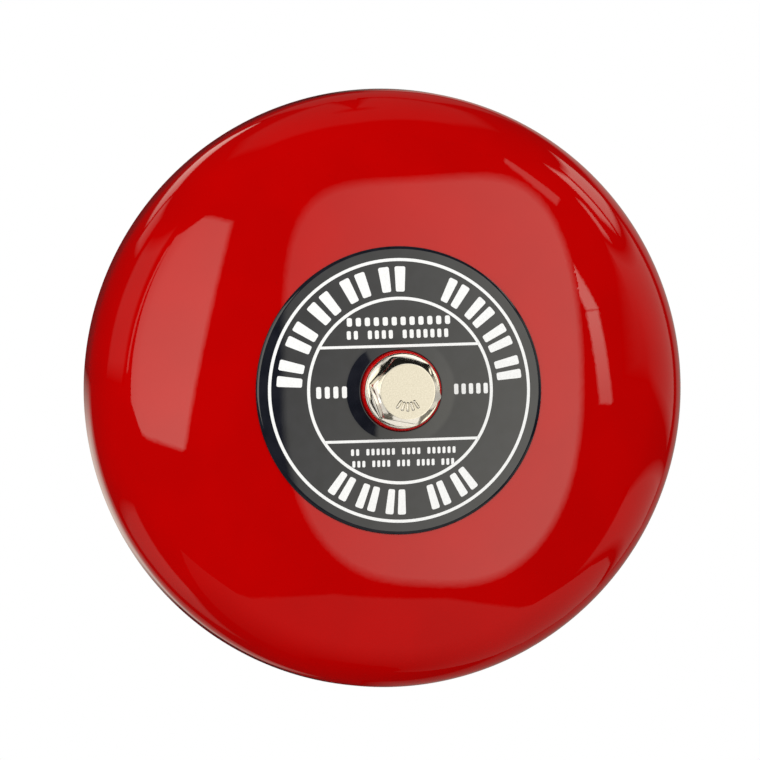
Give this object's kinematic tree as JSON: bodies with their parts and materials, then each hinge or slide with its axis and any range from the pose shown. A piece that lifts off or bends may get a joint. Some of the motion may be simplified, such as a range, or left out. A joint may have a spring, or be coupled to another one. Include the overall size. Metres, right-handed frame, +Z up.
{
  "type": "fire alarm bell",
  "caption": "Round wall-mounted alarm bell: a shallow steel gong on a central bolt, struck near its rim from inside by a motor-driven plunger.",
  "frame": {"origin": "centre of the mounting plate's wall face", "axes": "+Y points into the wall along the bell's axis, the bell faces -Y, +Z is up the wall and +X is to the right of someone facing the bell"},
  "size_m": [0.15, 0.0596, 0.15],
  "materials": {
    "gong_paint": "glossy red stove enamel",
    "label_print": "glossy black film with white print",
    "bolt_nickel": "bright warm nickel plate",
    "housing_paint": "satin black powder coat on cast aluminium",
    "cover_plastic": "fine-textured black moulding",
    "cap_plastic": "natural nylon",
    "gasket_rubber": "black neoprene",
    "post_steel": "turned steel",
    "zinc_steel": "bright zinc plate",
    "motor_steel": "drawn plated steel",
    "bronze": "sintered bronze",
    "magnet_ferrite": "dark ferrite",
    "copper": "copper",
    "tinned_brass": "tinned brass",
    "core_steel": "stacked laminations",
    "cam_nylon": "natural acetal",
    "tip_steel": "hardened steel",
    "spring_steel": "spring wire",
    "board_laminate": "green solder mask",
    "terminal_plastic": "green moulding",
    "part_black": "black epoxy",
    "capacitor_sleeve": "dark blue sleeve",
    "varistor_blue": "blue lacquer",
    "lead_red": "red PVC",
    "lead_black": "black PVC"
  },
  "bodies": {
    "base": {"mounting_plate": "housing_paint", "housing_ring": "housing_paint", "ring_gasket": "gasket_rubber", "ring_screws": "zinc_steel", "wall_gasket": "gasket_rubber", "cable_grommet": "gasket_rubber", "gong_post": "post_steel", "gong_seat_washer": "gasket_rubber", "cover_gasket": "gasket_rubber", "mechanism_cover": "cover_plastic", "post_seal": "gasket_rubber", "cover_screws": "zinc_steel", "motor_can": "motor_steel", "motor_end_cap": "cap_plastic", "motor_front_bearing": "bronze", "motor_rear_bearing": "bronze", "motor_magnets": "magnet_ferrite", "motor_brushes": "copper", "motor_terminals": "tinned_brass", "motor_strap": "zinc_steel", "strap_screws": "zinc_steel", "striker_bush": "bronze", "striker_seal": "gasket_rubber", "return_spring": "spring_steel", "circuit_board": "board_laminate", "board_screws": "zinc_steel", "terminal_block": "terminal_plastic", "terminal_screws": "zinc_steel", "polarity_diode": "part_black", "suppression_capacitor": "capacitor_sleeve", "surge_varistor": "varistor_blue", "positive_lead": "lead_red", "negative_lead": "lead_black"},
    "rotor": {"armature_core": "core_steel", "armature_windings": "copper", "commutator": "copper", "motor_shaft": "post_steel", "eccentric_cam": "cam_nylon"},
    "striker": {"striker_plunger": "post_steel", "striker_tip": "tip_steel"},
    "gong_shell": {"gong": "gong_paint", "label_disc": "label_print"},
    "washer": {"bolt_washer": "bolt_nickel"},
    "bolt": {"hex_bolt": "bolt_nickel"}
  },
  "joints": [
    {"name": "gong_lift_off", "type": "slide", "parent": "base", "child": "gong_shell", "axis": [0, -1, 0], "range_m": [0, 0.06]},
    {"name": "bolt_back_out", "type": "slide", "parent": "gong_shell", "child": "washer", "axis": [0, -1, 0], "range_m": [0, 0.014]},
    {"name": "bolt_turn", "type": "hinge", "parent": "washer", "child": "bolt", "pos_m": [0, -0.06, 0], "axis": [0, -1, 0], "range_deg": [0, 4033]},
    {"name": "motor_spin", "type": "hinge", "parent": "base", "child": "rotor", "pos_m": [0, -0.012, -0.027], "axis": [0, -1, 0], "continuous": true},
    {"name": "striker_slide", "type": "slide", "parent": "base", "child": "striker", "axis": [0, 0, -1], "range_m": [0, 0.003], "stiffness_N_per_m": 150, "springref_m": -0.002, "deforming": ["return_spring"]}
  ],
  "couplings": [
    {"joint": "bolt_turn", "follows": "bolt_back_out", "rad_per_m": 5026.5}
  ]
}
